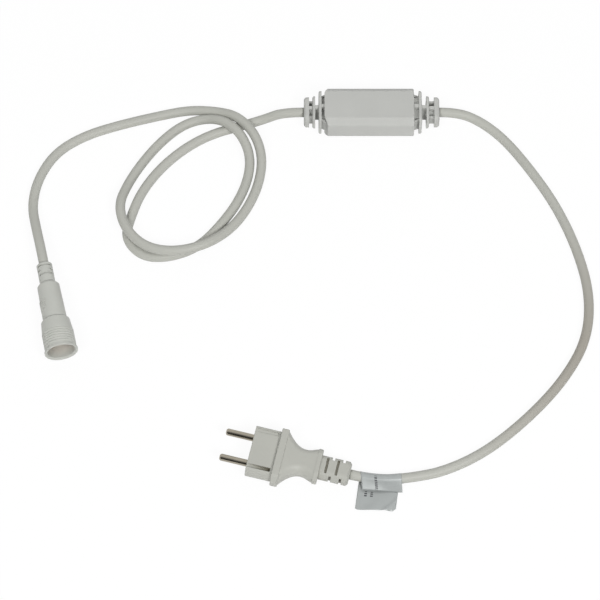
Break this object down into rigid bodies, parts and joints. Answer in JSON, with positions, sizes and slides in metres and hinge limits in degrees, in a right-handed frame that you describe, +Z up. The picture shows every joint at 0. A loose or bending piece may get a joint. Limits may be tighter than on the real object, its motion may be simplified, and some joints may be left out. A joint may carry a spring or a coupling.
{
  "type": "power cord",
  "caption": "Outdoor power lead with a contour mains plug, a folded film tag, an in-line rectifier block with ribbed tails, a loosely looped output lead and a round threaded connector.",
  "frame": {"origin": "middle of the rectifier housing's underside, tails included, on the surface that everything lies on", "axes": "+X along the block from its output end to its mains end, +Y away from the viewer, +Z up"},
  "size_m": [0.3924, 0.321, 0.0229],
  "materials": {
    "moulded_grey": "fine spark-eroded matt",
    "hard_grey": "satin",
    "cord_sheath": "matt",
    "tag_film": "silvered film",
    "pin_metal": "nickel plated",
    "contact_metal": "drawn",
    "board": "laminate",
    "diode_body": "moulded",
    "fuse_body": "ceramic",
    "core_brown": "insulation",
    "core_blue": "insulation"
  },
  "bodies": {
    "root": {"connector_collar": "hard_grey", "connector_core_1": "core_brown", "connector_core_2": "core_blue", "connector_grip": "moulded_grey", "contact_carrier": "hard_grey", "contact_sleeve_1": "contact_metal", "contact_sleeve_2": "contact_metal", "cord_tag": "tag_film", "fuse": "fuse_body", "mains_core_1": "core_brown", "mains_core_2": "core_blue", "mains_lead": "cord_sheath", "output_core_1": "core_brown", "output_core_2": "core_blue", "output_lead": "cord_sheath", "pin_bridge": "hard_grey", "plug_body": "moulded_grey", "plug_core_1": "core_brown", "plug_core_2": "core_blue", "plug_pin_1": "pin_metal", "plug_pin_2": "pin_metal", "rectifier_board": "board", "rectifier_diode_1": "diode_body", "rectifier_diode_2": "diode_body", "rectifier_diode_3": "diode_body", "rectifier_diode_4": "diode_body", "rectifier_housing": "moulded_grey"}
  },
  "joints": []
}
